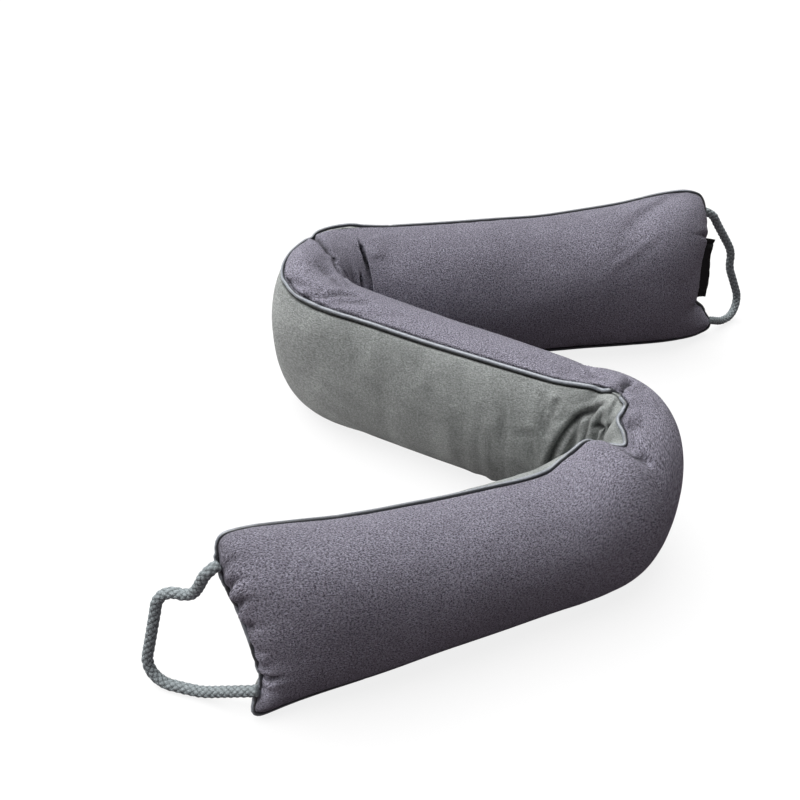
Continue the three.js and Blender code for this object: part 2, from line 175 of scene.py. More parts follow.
def setLights():
    for name in ("overhead", "fill"):
        settings = lightSet[name]
        light = bpy.data.lights.new(name, "SUN")
        light.angle = math.radians(settings["spread"])
        light.energy = settings["strength"]
        way = Vector(settings["from"]).to_track_quat("Z", "Y")
        newObject(name, light).rotation_euler = way.to_euler()
    world = bpy.data.worlds.new("room")
    world.use_nodes = True
    tree = world.node_tree
    room = tree.nodes["Background"]
    setInputs(tree, room, {"Color": (*lightSet["room"], 1), "Strength": lightSet["roomStrength"]})
    backdrop = addNode(tree, "ShaderNodeBackground", {"Color": (*lightSet["backdrop"], 1)})
    seen = addNode(tree, "ShaderNodeLightPath").outputs["Is Camera Ray"]
    both = addNode(tree, "ShaderNodeMixShader", {0: seen, 1: room.outputs[0], 2: backdrop.outputs[0]})
    tree.links.new(both.outputs[0], tree.nodes["World Output"].inputs["Surface"])
    bpy.context.scene.world = world
    bpy.context.scene.view_settings.view_transform = "Standard"


setCamera()
setFloor()
setLights()
print("camera, floor and light set")


# cloth finishes
finishes = {
    "mauve": {
        "cloth": (0.079, 0.073, 0.092), "fibre": (0.522, 0.503, 0.606),
        "grain": 880, "drift": 0.16, "bump": 0.9,
    },
    "green": {
        "cloth": (0.187, 0.198, 0.192), "fibre": (0.342, 0.358, 0.350),
        "grain": 700, "drift": 0.42, "bump": 0.4,
    },
    # the piping's colours are light, so that its outer side shows a painted highlight
    "piping": {
        "cloth": (0.180, 0.196, 0.222), "fibre": (0.330, 0.355, 0.392),
        "threads": 1600, "ribs": 7400, "roughness": 0.36, "gloss": 0.7, "depth": 0.0001,
    },
    "rope": {
        "cloth": (0.175, 0.200, 0.208), "fibre": (0.360, 0.400, 0.415),
        "threads": 2000, "roughness": 0.85, "gloss": 0.25, "depth": 0.0003,
    },
    "tab": {
        "cloth": (0.005, 0.005, 0.006), "fibre": (0.022, 0.020, 0.021),
        "threads": 1500, "ribs": 6800, "roughness": 0.6, "gloss": 0.3, "depth": 0.0002,
    },
}
# noise rows are detail, roughness and distortion; bands are stretched to 0 to 1 or to a shade
pileSet = {
    "combed": (0.6, 1.0, 1.0), "speckle": (3.0, 0.75, 0.8), "fibres": (2.0, 0.6), "finer": 1.7,
    "raised": (0.82, 1.2),
    "patches": 38.0, "patchNoise": (5.0, 0.66, 0.6),  # where the pile lies this way or that
    "patchBand": (0.25, 0.75), "patchShade": (0.35, 1.65),
    # painted shade: the next key is how much of the cloth's colour is left where the creases and the seam
    # groove are painted darkest
    "inPaintedShade": 0.16, "depth": 0.0008,
    "roughness": 0.95, "gloss": 0.12, "sheen": 0.08, "sheenRoughness": 0.45,
}
yarnSet = {
    "drawn": (0.35, 1.0, 1.0), "noise": (3.0, 0.65), "strands": (0.32, 0.68), "strandHeight": 0.5,
    # grooves and inGrooves darken the colour where a yarn sits low, as painted shade
    "grooves": (-0.2, 0.8), "inGrooves": 0.12, "bump": 0.5,
    # the crest band keeps the piping light on its outer side as a painted highlight and darkens its flanks in
    # the seam as painted shade
    "betweenTurns": 0.72, "crestBand": (0.3, 0.95), "crestHeight": (-0.2, 0.95),  # the piping's
}


def newGroup(name, inputs, outputs, kind="ShaderNodeTree"):
    group = bpy.data.node_groups.new(name, kind)
    for way, sockets in (("INPUT", inputs), ("OUTPUT", outputs)):
        for label, held in sockets.items():
            group.interface.new_socket(label, in_out=way, socket_type="NodeSocket" + held)
    return group, addNode(group, "NodeGroupInput").outputs, addNode(group, "NodeGroupOutput").inputs


def noiseFac(tree, place, scale, detail, roughness, distortion=0.0):
    return addNode(tree, "ShaderNodeTexNoise", {
        "Vector": place, "Scale": scale, "Detail": detail, "Roughness": roughness, "Distortion": distortion,
    }).outputs["Fac"]


def spread(tree, value, low, high, start=0.0, end=1.0):  # a narrow band of a value, stretched
    band = {"Value": value, "From Min": low, "From Max": high, "To Min": start, "To Max": end}
    return addNode(tree, "ShaderNodeMapRange", band).outputs["Result"]


def stretched(tree, place, shares):
    return addNode(tree, "ShaderNodeVectorMath", {0: place, 1: shares}, operation="MULTIPLY").outputs[0]


def brushedPile():  # short brushed fibres over a close weave
    group, given, made = newGroup(
        "brushedPile",
        {
            "Place": "Vector", "Cloth": "Color", "Fibre": "Color",
            "Grain": "Float", "Drift": "Float", "PaintedShade": "Float",
        },
        {"Colour": "Color", "Height": "Float"},
    )
    place = given["Place"]
    combed = stretched(group, place, pileSet["combed"])
    speckle = noiseFac(group, place, given["Grain"], *pileSet["speckle"])
    finer = mathNode(group, "MULTIPLY", given["Grain"], pileSet["finer"])
    fibres = noiseFac(group, combed, finer, *pileSet["fibres"])
    raised = spread(group, mathNode(group, "ADD", speckle, fibres), *pileSet["raised"])
    colour = mixColours(group, raised, given["Cloth"], given["Fibre"])
    patches = noiseFac(group, place, pileSet["patches"], *pileSet["patchNoise"])
    shade = spread(group, patches, *pileSet["patchBand"], *pileSet["patchShade"])
    drifted = mixColours(group, given["Drift"], colour, shade, "MULTIPLY")
    # painted shade: the colour is darkened along the creases and beside the seam
    dark = spread(group, given["PaintedShade"], 0.0, 1.0, 1.0, pileSet["inPaintedShade"])
    group.links.new(mixColours(group, 1.0, drifted, dark, "MULTIPLY"), made["Colour"])
    group.links.new(raised, made["Height"])
    return group


def yarnFibres():  # twisted yarn, dark in the hollows between its strands
    group, given, made = newGroup(
        "yarnFibres",
        {"Place": "Vector", "Cloth": "Color", "Fibre": "Color", "Threads": "Float", "Raised": "Float"},
        {"Colour": "Color", "Height": "Float"},
    )
    drawn = stretched(group, given["Place"], yarnSet["drawn"])
    threads = noiseFac(group, drawn, given["Threads"], *yarnSet["noise"])
    strands = spread(group, threads, *yarnSet["strands"])
    colour = mixColours(group, strands, given["Cloth"], given["Fibre"])
    # painted shade: the colour is darkened where Raised is low, in the grooves of the plait, between the
    # tab's threads and on the piping's flanks
    shade = spread(group, given["Raised"], *yarnSet["grooves"], yarnSet["inGrooves"], 1.0)
    group.links.new(mixColours(group, 1.0, colour, shade, "MULTIPLY"), made["Colour"])
    fine = mathNode(group, "MULTIPLY", strands, yarnSet["strandHeight"])
    group.links.new(mathNode(group, "ADD", given["Raised"], fine), made["Height"])
    return group


def bumpNormal(tree, height, strength, depth):
    bump = addNode(tree, "ShaderNodeBump", {"Height": height, "Strength": strength, "Distance": depth})
    return bump.outputs["Normal"]


pileGroup = brushedPile()
yarnGroup = yarnFibres()


def attributeNode(tree, name):
    return addNode(tree, "ShaderNodeAttribute", attribute_name=name).outputs


def clothMaterial(name, finish):
    material, tree, shader = newMaterial(name)
    pile = addNode(tree, "ShaderNodeGroup", {
        "Place": addNode(tree, "ShaderNodeUVMap", uv_map="cut").outputs["UV"],
        "Cloth": (*finish["cloth"], 1), "Fibre": (*finish["fibre"], 1),
        "Grain": finish["grain"], "Drift": finish["drift"],
        # painted shade along the creases and beside the seam
        "PaintedShade": attributeNode(tree, "paintedShade")["Fac"],
    }, node_tree=pileGroup).outputs
    setInputs(tree, shader, {
        "Base Color": pile["Colour"],
        "Normal": bumpNormal(tree, pile["Height"], finish["bump"], pileSet["depth"]),
        "Roughness": pileSet["roughness"], "Specular IOR Level": pileSet["gloss"],
        "Sheen Weight": pileSet["sheen"], "Sheen Roughness": pileSet["sheenRoughness"],
    })
    return material


def ribs(tree, along, closeness):  # threads across a strip or round a cord
    return spread(tree, mathNode(tree, "SINE", mathNode(tree, "MULTIPLY", along, closeness)), -1.0, 1.0)


def yarnMaterial(name, finish):
    material, tree, shader = newMaterial(name)
    if name == "pipingCloth":
        place = addNode(tree, "ShaderNodeTexCoord").outputs["Object"]
        turned = ribs(tree, attributeNode(tree, "along")["Fac"], finish["ribs"])
        turns = spread(tree, turned, 0.0, 1.0, yarnSet["betweenTurns"], 1.0)
        # painted highlight and painted shade: the piping stays light on its outer side and turns dark down
        # its flanks into the seam
        crest = attributeNode(tree, "crest")["Fac"]
        crest = spread(tree, crest, *yarnSet["crestBand"], *yarnSet["crestHeight"])
        raised = mathNode(tree, "MULTIPLY", crest, turns)
    else:
        place = attributeNode(tree, "place")["Vector"]
        if name == "ropeYarn":
            raised = attributeNode(tree, "raised")["Fac"]
        else:
            parts = addNode(tree, "ShaderNodeSeparateXYZ", {"Vector": place}).outputs
            raised = mathNode(tree, "MULTIPLY", *[ribs(tree, parts[axis], finish["ribs"]) for axis in "XY"])
    yarn = addNode(tree, "ShaderNodeGroup", {
        "Place": place, "Raised": raised, "Threads": finish["threads"],
        "Cloth": (*finish["cloth"], 1), "Fibre": (*finish["fibre"], 1),
    }, node_tree=yarnGroup).outputs
    setInputs(tree, shader, {
        "Base Color": yarn["Colour"],
        "Normal": bumpNormal(tree, yarn["Height"], yarnSet["bump"], finish["depth"]),
        "Roughness": finish["roughness"], "Specular IOR Level": finish["gloss"],
    })
    return material


mauveCloth = clothMaterial("mauveCloth", finishes["mauve"])
greenCloth = clothMaterial("greenCloth", finishes["green"])
pipingCloth = yarnMaterial("pipingCloth", finishes["piping"])
ropeYarn = yarnMaterial("ropeYarn", finishes["rope"])
tabWeave = yarnMaterial("tabWeave", finishes["tab"])
print("finishes made")


# rope loops, from the top of each end seam to its bottom, in millimetres
ropeSet = {
    "diameter": 6.6,
    "step": 0.5,
    "sides": 48,
    "strandPairs": 5,
    "lay": 4.6,  # length of one lozenge of the plait
    "relief": 0.22,  # share of the radius between a strand and the groove beside it
    "full": 1.02, "level": 0.75,  # size over the radius, and the strand height that has it
    "rounded": 0.6, "lowEnds": 0.62,  # how round a strand is across, and how high at its ends
    "fuzz": 0.012, "fuzzWaves": (7, 1.7, 2.3),
    "betweenPoints": 40,  # trial points between two points of the route
    "left": [
        (-184.5, -176.6, 95.6), (-189.5, -178.1, 92.4), (-193.9, -178.2, 87.1), (-196.8, -177.3, 80.8),
        (-199.8, -176.5, 74.5), (-203.7, -175.3, 68.9), (-209.8, -173.5, 66.1), (-215.6, -171.9, 65.6),
        (-221.8, -171.1, 62.6), (-225.9, -171.8, 57.1), (-227.7, -173.3, 50.5), (-229.4, -175, 43.9),
        (-231.1, -176.6, 37.3), (-232.8, -178.2, 30.7), (-234.5, -179.8, 24.1), (-236, -181.5, 17.5),
        (-235, -183.9, 11.1), (-231, -186.7, 6.1), (-225.1, -189.3, 3.8), (-218.4, -191.4, 3.9),
        (-211.7, -193.3, 4.2), (-205, -195.3, 5), (-198.5, -197.1, 7), (-192.3, -198.8, 9.8),
        (-186.1, -200.5, 12.5), (-179.9, -202.2, 15.3), (-173.7, -203.9, 18), (-167.5, -205.4, 21),
    ],
    "right": [
        (166.4, 193.7, 112.4), (171.2, 194.7, 110.3), (176.9, 196.4, 106), (181, 197.7, 100),
        (185.1, 199, 93.9), (189.3, 200.3, 87.9), (193.4, 201.7, 81.9), (197.6, 203, 75.8),
        (201.3, 204.2, 69.5), (203.6, 204.9, 62.5), (204.5, 205.1, 55.1), (206.5, 205.4, 48),
        (209.7, 205.9, 41.3), (212.9, 206.3, 34.6), (216.1, 206.7, 27.9), (218.8, 206.6, 21.1),
        (219.1, 204.4, 14), (216.7, 200.3, 8.4), (212.2, 195.4, 5.3), (206.6, 190.6, 5.4),
        (200.9, 186, 6.8), (195.8, 181.6, 9.9), (190.7, 177.3, 13.2), (186.6, 174, 15.6),
    ],
}


def smoothRoute(points, step):  # centripetal spline through the points, in even steps
    p = np.array(points, float)
    p = np.vstack([2 * p[0] - p[1], p, 2 * p[-1] - p[-2]])
    line = []
    for a, b, c, d in zip(p[:-3], p[1:-2], p[2:-1], p[3:]):
        apart = [np.linalg.norm(n - m) ** 0.5 for m, n in ((a, b), (b, c), (c, d))]
        knots = np.concatenate([[0], np.cumsum(apart)])
        t = np.linspace(knots[1], knots[2], ropeSet["betweenPoints"], endpoint=False)[:, None]

        def blend(first, second, i, j):
            span = knots[j] - knots[i]
            return (knots[j] - t) / span * first + (t - knots[i]) / span * second

        ab, bc, cd = blend(a, b, 0, 1), blend(b, c, 1, 2), blend(c, d, 2, 3)
        line.append(blend(blend(ab, bc, 0, 2), blend(bc, cd, 1, 3), 1, 2))
    line = np.vstack([*line, p[-2:-1]])
    along = np.concatenate([[0], np.cumsum(np.linalg.norm(np.diff(line, axis=0), axis=1))])
    even = np.linspace(0, along[-1], int(round(along[-1] / step)) + 1)
    return np.stack([np.interp(even, along, line[:, k]) for k in range(3)], -1), even


def plaitHeight(angle, along):
    turns = ropeSet["strandPairs"] * angle / (2 * np.pi)
    u, v = turns + along / ropeSet["lay"], turns - along / ropeSet["lay"]
    over = (np.floor(u) + np.floor(v)) % 2 == 0
    fu, fv = u % 1, v % 1
    across, lengthwise = np.where(over, fv, fu), np.where(over, fu, fv)
    crown = ropeSet["lowEnds"] + (1 - ropeSet["lowEnds"]) * np.sin(np.pi * lengthwise)
    return np.sin(np.pi * across) ** ropeSet["rounded"] * crown


def ropeLoop(name, node, route):
    path, along = smoothRoute(route, ropeSet["step"])
    count, sides = len(path), ropeSet["sides"]
    way = unit(np.gradient(path, axis=0))
    side = np.cross((0, 1, 0), way[0])
    angle = 2 * np.pi * np.arange(sides) / sides
    radius = ropeSet["diameter"] / 2
    rings = np.empty((count, sides, 3))
    raised = np.empty((count, sides))
    wavesRound, twist, wavesAlong = ropeSet["fuzzWaves"]
    for i in range(count):
        side = unit(side - way[i] * side.dot(way[i]))
        up = np.cross(way[i], side)
        high = plaitHeight(angle, along[i])
        raised[i] = high
        fuzz = ropeSet["fuzz"] * np.sin(wavesRound * angle + twist * along[i]) * np.sin(wavesAlong * along[i])
        reach = radius * (ropeSet["full"] + ropeSet["relief"] * (high - ropeSet["level"]) + fuzz)
        rings[i] = path[i] + reach[:, None] * (np.cos(angle)[:, None] * side + np.sin(angle)[:, None] * up)
    points = np.vstack([rings.reshape(-1, 3), path[[0, -1]]]) * mm
    faces = tubeFaces(count, sides)
    last = (count - 1) * sides
    for j in range(sides):
        k = (j + 1) % sides
        faces.append((count * sides, k, j))
        faces.append((count * sides + 1, last + j, last + k))
    rope = newMesh(name, points, faces)
    shadeSmooth(rope.data)
    turned = np.broadcast_arrays(along[:, None], radius * np.cos(angle), radius * np.sin(angle))
    turned = np.stack(turned, -1)
    ends = [(0, 0, 0), (along[-1], 0, 0)]
    pointValues(rope.data, "place", np.vstack([turned.reshape(-1, 3), ends]) * mm)
    # the strand height also paints shade into the grooves between the strands
    pointValues(rope.data, "raised", np.append(raised.reshape(-1), [0.5, 0.5]))
    rope.data.materials.append(ropeYarn)
    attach(rope, "root")
    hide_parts(node)
    print(name, "is", round(along[-1]), "mm long")


ropeLoop("leftRopeLoop", "left_rope", ropeSet["left"])
ropeLoop("rightRopeLoop", "right_rope", ropeSet["right"])


# the filled cover, in millimetres; its sizes are those of the solid,
# apart from a dip and a zigzag of the seam at the right bend and gentler folds inside the left bend;
# s is the place along the middle line, share the way round a cloth from the top seam to the bottom one
cushion = {
    "start": (-181.52, -191.9),  # where the middle line starts, from the middle of the base
    "length": 920,
    "heading": 21.2,  # degrees from +X at the left end
    "ovalPower": 2.4,
    "endSwell": 70,
    "endCloth": 4,
    "pressedFlat": 2.5,
    "baseLean": 23,
    "endTrim": 3.7,
    "clothWidth": 150,
    "corners": (12.0, 19.0),  # rounding of the left and the right end seam
    "puckerRun": (8, 28),  # full at, gone at, from the end seam
    "puckers": {"number": (5, 4), "high": (1.2, 0.8), "turned": (0.1, 0.3)},
    "bends": [(277, 106, 120.3), (569, 137, -148)],  # at, over, turn
    "sweeps": [(0, 277, 2.3), (277, 569, 11.3), (569, 920, 1.9)],  # from, to, turn
    "section": {
        "at": (
            0, 20, 45, 70, 140, 200, 217, 236, 247, 258, 277, 315, 350, 430, 500, 540, 569, 600,
            640, 750, 830, 885, 905, 920,
        ),
        "height": (
            123.5, 122, 116.5, 111, 103.5, 101.5, 108, 114.8, 112, 115.5, 120.5, 119, 116.5, 115.5,
            119.5, 125, 129, 127, 122, 122, 128.5, 137, 133.5, 126,
        ),
        "front": (
            37.5, 37.5, 37.5, 37.5, 38, 38, 39, 38.8, 38, 37, 35.5, 39.5, 38, 38.5, 38, 31, 26, 31,
            37, 38, 41, 45, 45.5, 45.5,
        ),
        "back": (
            37.5, 37.5, 37.5, 37.5, 37, 37, 35, 31.5, 29, 27.5, 26, 31, 37, 41.5, 43, 42.5, 40.5,
            41, 38, 38, 38, 38, 38, 38,
        ),
    },
    "seam": {
        "at": (
            0, 70, 150, 188, 214, 230, 237, 240, 244, 247, 250, 254, 258, 264, 270, 275, 281, 286,
            291, 300, 315, 325, 350, 430, 500, 545, 562, 578, 592, 608, 640, 800, 850, 880, 905,
            920,
        ),
        "lean": (
            23, 19, 14, 11, 16, 19, 18, 17, 14, 9, 2, 3, 6, 11.5, 14, 12, 8.5, 8.5, 8.8, 8.5, 10.5,
            13, 17, 21, 23, 27, 28, 25, 17, 12, 11, 11, 10.5, 6.5, 5, 10,
        ),
    },
    "leftOutline": {
        "at": (-1, -0.88, -0.72, -0.55, -0.25, 0.2, 0.6, 1),
        "inset": (-3, -3, 3.5, 9, 7.5, 4, -0.5, -1),
    },
    "rightOutline": {
        "at": (-1, -0.85, -0.6, -0.4, -0.15, 0.2, 0.6, 1),
        "inset": (-12, -11, 1, 11.5, 10.5, 12, 9.5, 12),
    },
    # the deep folds inside the bends: cloth, at, share round it, at and share where it ends, depth, width,
    # and the share of its length over which it deepens
    "folds": [
        ("back", 232, 0.08, 238, 0.6, 3, 6, 0),
        ("back", 254, -0.06, 262, 0.85, 6.5, 8, 0),
        ("back", 278, 0.14, 280, 0.85, 7, 6, 0),
        ("back", 297, 0.16, 300, 0.75, 5, 5, 0),
        ("back", 312, 0.03, 336, 0.5, 4, 7, 0),
        ("front", 568, 0.36, 568, 0.85, 5.5, 6, 0.5),
        ("front", 548, 0.36, 546, 0.75, 5, 6, 0.5),
        ("front", 588, 0.36, 590, 0.8, 3.5, 6, 0.5),
        ("front", 584, 0.05, 570, 0.31, 2, 7, 0),
        ("front", 556, 0.34, 516, 0.22, 2.5, 8, 0.3),
        ("front", 612, 0.28, 614, 0.8, 3.5, 6, 0),
    ],
}


def ease(share):
    u = np.clip(share, 0, 1)
    return u * u * (3 - 2 * u)


def column(table, name, at):  # smooth between the rows, with no overshoot
    x, y = np.array(table["at"], float), np.array(table[name], float)
    rise = np.diff(y) / np.diff(x)
    slope = np.zeros_like(y)
    before, after = rise[:-1], rise[1:]
    same = before * after > 0
    slope[1:-1][same] = 2 * before[same] * after[same] / (before[same] + after[same])
    i = np.clip(np.searchsorted(x, at) - 1, 0, len(x) - 2)
    wide = x[i + 1] - x[i]
    u = (at - x[i]) / wide
    bulge = u * (1 - u) * ((1 - u) * slope[i] - u * slope[i + 1]) * wide
    return y[i] + (y[i + 1] - y[i]) * ease(u) + bulge


def headingAt(s, bendShare):
    turn = np.full_like(np.asarray(s, float), cushion["heading"])
    for at, over, angle in cushion["bends"]:
        turn = turn + bendShare * angle * ease((s - at) / over + 0.5)
    for start, end, angle in cushion["sweeps"]:
        turn = turn + angle * np.clip((s - start) / (end - start), 0, 1)
    return np.radians(turn)


def middleLine(s, bendShare):
    step = 0.5
    heading = headingAt(np.arange(0, cushion["length"], step) + step / 2, bendShare)
    x = cushion["start"][0] + np.concatenate([[0], np.cumsum(step * np.cos(heading))])
    y = cushion["start"][1] + np.concatenate([[0], np.cumsum(step * np.sin(heading))])
    at = np.arange(len(x)) * step
    return np.interp(s, at, x), np.interp(s, at, y)


def foldDepth(s, share, isBack):
    depth = np.zeros(np.broadcast(s, share).shape)
    width = cushion["clothWidth"]
    for cloth, at, start, atEnd, end, deep, wide, opens in cushion["folds"]:
        along, rounded = atEnd - at, (end - start) * width
        x = s - at
        y = (np.where(isBack == (cloth == "back"), share, -share) - start) * width
        u = np.clip((x * along + y * rounded) / (along ** 2 + rounded ** 2), 0, 1)
        deepening = ease(u / opens) if opens else 1.0
        depth += deep * deepening * np.exp(-(np.hypot(x - u * along, y - u * rounded) / wide) ** 2)
    return depth


def coverPoints(s, share, isBack, bendShare=1.0, slack=0.0, folded=True):
    length = cushion["length"]
    lean = np.radians(column(cushion["seam"], "lean", s))
    isLeft = s < length / 2
    fromEnd = np.maximum(np.minimum(s, length - s) - cushion["endTrim"], 0)
    near = 1 - np.minimum(fromEnd / cushion["endSwell"], 1)
    swell = np.sqrt(1 - near ** 2)
    height = column(cushion["section"], "height", s)
    front = column(cushion["section"], "front", s) - slack
    back = column(cushion["section"], "back", s) - slack
    corner = np.where(isLeft, *cushion["corners"])
    rounding = corner - np.sqrt(corner ** 2 - np.maximum(corner - fromEnd, 0) ** 2)
    flatHeight = height - 2 * (rounding + cushion["endTrim"])
    angle = np.where(isBack, -np.pi, np.pi) * share

    topSeam = np.arctan(np.tan(lean) * height / 2 / back)
    bottomSeam = np.arctan(math.tan(math.radians(cushion["baseLean"])) * height / 2 / front)
    turn = topSeam - angle + (bottomSeam - topSeam) * share
    up, out = np.cos(turn), np.sin(turn)
    power = cushion["ovalPower"]
    reach = (np.abs(up) ** power + np.abs(out) ** power) ** (-1 / power)
    fullAcross = reach * out * np.where(out > 0, back, front)
    fullUp = height / 2 * reach * up
    flatUp = flatHeight / 2 * np.cos(angle)
    flatOut = -cushion["endCloth"] / 2 * np.sin(angle)
    across = (np.sin(lean) * flatUp + np.cos(lean) * flatOut) * (1 - swell) + fullAcross * swell
    up = (np.cos(lean) * flatUp - np.sin(lean) * flatOut) * (1 - swell) + fullUp * swell

    number, high, turned = [np.where(isLeft, *pair) for pair in cushion["puckers"].values()]
    wave = np.cos(2 * np.pi * (number * share + turned)) * np.sin(np.pi * share)
    full, gone = cushion["puckerRun"]
    pucker = high * wave * ease(fromEnd / full) * (1 - ease(fromEnd / gone))
    side = np.where(isBack, 1, -1)
    across = across + side * pucker * np.cos(lean)
    up = up - side * pucker * np.sin(lean)
    if folded:
        inset = 1 - foldDepth(s, share, isBack) / np.hypot(across, up)
        across, up = across * inset, up * inset

    middle = height / 2 * (np.cos(lean) * (1 - swell) + swell)
    z = np.maximum(up + middle - cushion["pressedFlat"] * swell, 0)
    level = np.clip((z - middle) / middle, -1, 1)
    leftInset = column(cushion["leftOutline"], "inset", level)
    rightInset = column(cushion["rightOutline"], "inset", level)
    along = np.where(isLeft, leftInset, -rightInset) * near ** 2
    heading = headingAt(s, bendShare)
    x, y = middleLine(s, bendShare)
    return np.stack([
        x - np.sin(heading) * across + np.cos(heading) * along,
        y + np.cos(heading) * across + np.sin(heading) * along,
        z,
    ], -1)


gridSet = {
    # steps along the cushion up to each place, closer together at the ends and in the bends
    "spans": [
        (30, 1.1), (70, 2.0), (215, 3.2), (345, 1.1), (500, 3.2), (640, 1.1), (850, 3.2), (890, 2.0),
        (916.3, 1.1),
    ],
    "round": 92,  # steps round each cloth
    "topCrowd": 0.45,  # size of the steps beside the top seam, share of the average
    "trialStep": 2.6,  # the filling trial's steps, times as long
    "trialRound": 40,
}


def coverGrid(longer, roundCount):
    s = [cushion["endTrim"]]
    for to, step in gridSet["spans"]:
        count = max(round((to - s[-1]) / (step * longer)), 1)
        s += [s[-1] + (to - s[-1]) * k / count for k in range(1, count)] + [to]
    t = np.linspace(0, 1, roundCount + 1)
    share = gridSet["topCrowd"] * t + (1 - gridSet["topCrowd"]) * t * t
    isBack = np.arange(2 * roundCount) >= roundCount
    return np.array(s)[:, None], np.concatenate([share[:-1], share[:0:-1]])[None], isBack[None]


def coverFaces(alongCount, ringSize):
    faces = tubeFaces(alongCount, ringSize)
    for ring, flip in ((0, False), ((alongCount - 1) * ringSize, True)):  # closed along the end seams
        for k in range(ringSize // 2):
            face = [ring + k, ring + (ringSize - k) % ringSize, ring + ringSize - k - 1, ring + k + 1]
            face = list(dict.fromkeys(face))
            faces.append(face[::-1] if flip else face)
    return faces


def gridNormals(points):
    alongWay = np.gradient(points, axis=0)
    roundWay = np.roll(points, -1, 1) - np.roll(points, 1, 1)
    return unit(np.cross(roundWay, alongWay))


# the cloths are cut for a wider bend and filled until they are tight,
# so they wrinkle where the bend is short
fillSet = {
    "slack": 3.0, "cutBend": 0.84, "frames": 20, "cap": 8.0,
    "onFloor": 0.0005,  # in metres; the cloth is held up to this height
    "atEnds": 0.3, "freeFrom": 110,  # less free beside the end seams
    "cloth": {
        "quality": 5, "mass": 0.003, "air_damping": 2,
        "tension_stiffness": 9.0, "compression_stiffness": 9.0, "shear_stiffness": 3.0,
        "bending_stiffness": 0.02, "use_pressure": True, "uniform_pressure_force": 12.0,
    },
}


def fillCover():
    s, share, isBack = coverGrid(gridSet["trialStep"], gridSet["trialRound"])
    start = coverPoints(s, share, isBack, slack=fillSet["slack"]) * mm
    cut = coverPoints(s, share, isBack, bendShare=fillSet["cutBend"], folded=False) * mm
    ringSize = start.shape[1]
    trial = newMesh("fillingTrial", start.reshape(-1, 3), coverFaces(len(s), ringSize))
    trial.shape_key_add(name="slack")
    asCut = trial.shape_key_add(name="asCut")
    asCut.data.foreach_set("co", cut.reshape(-1).astype(np.float32))
    held = trial.vertex_groups.new(name="held")
    fixed = (start[..., 2] < fillSet["onFloor"]) | (share == 0) | (share == 1)
    fixed[[0, 1, -2, -1]] = True
    held.add(np.flatnonzero(fixed).tolist(), 1.0, "REPLACE")
    modifier = trial.modifiers.new("filling", "CLOTH")
    cloth = modifier.settings
    cloth.rest_shape_key = asCut
    cloth.vertex_group_mass = "held"
    for name, value in fillSet["cloth"].items():
        setattr(cloth, name, value)
    cloth.effector_weights.gravity = 0
    modifier.collision_settings.use_collision = False
    modifier.point_cache.frame_end = fillSet["frames"]
    for number in range(1, fillSet["frames"] + 1):
        bpy.context.scene.frame_set(number)
    filled = np.zeros(start.size, np.float32)
    trial.evaluated_get(bpy.context.evaluated_depsgraph_get()).data.vertices.foreach_get("co", filled)
    bpy.context.scene.frame_set(1)
    bpy.data.objects.remove(trial, do_unlink=True)
    moved = (filled.reshape(start.shape) - start) / mm
    size = np.linalg.norm(moved, axis=-1, keepdims=True)
    print("filling moved the cloth", round(float(size.mean()), 2), "mm, at most", round(float(size.max()), 1))
    return moved * np.minimum(1, fillSet["cap"] / np.maximum(size, 1e-6)), s[:, 0], share[0], isBack[0]


def onFineGrid(field, coarseS, coarseShare, coarseBack, s, share, isBack):
    coarseRound = np.append(np.where(coarseBack, 2 - coarseShare, coarseShare), 2)
    fineRound = np.where(isBack, 2 - share, share)[0]
    closed = np.concatenate([field, field[:, :1]], 1)
    rows = np.stack([[np.interp(fineRound, coarseRound, row[:, k]) for row in closed] for k in range(3)], -1)
    return np.stack([
        np.stack([np.interp(s[:, 0], coarseS, rows[:, j, k]) for j in range(rows.shape[1])], 1)
        for k in range(3)
    ], -1)


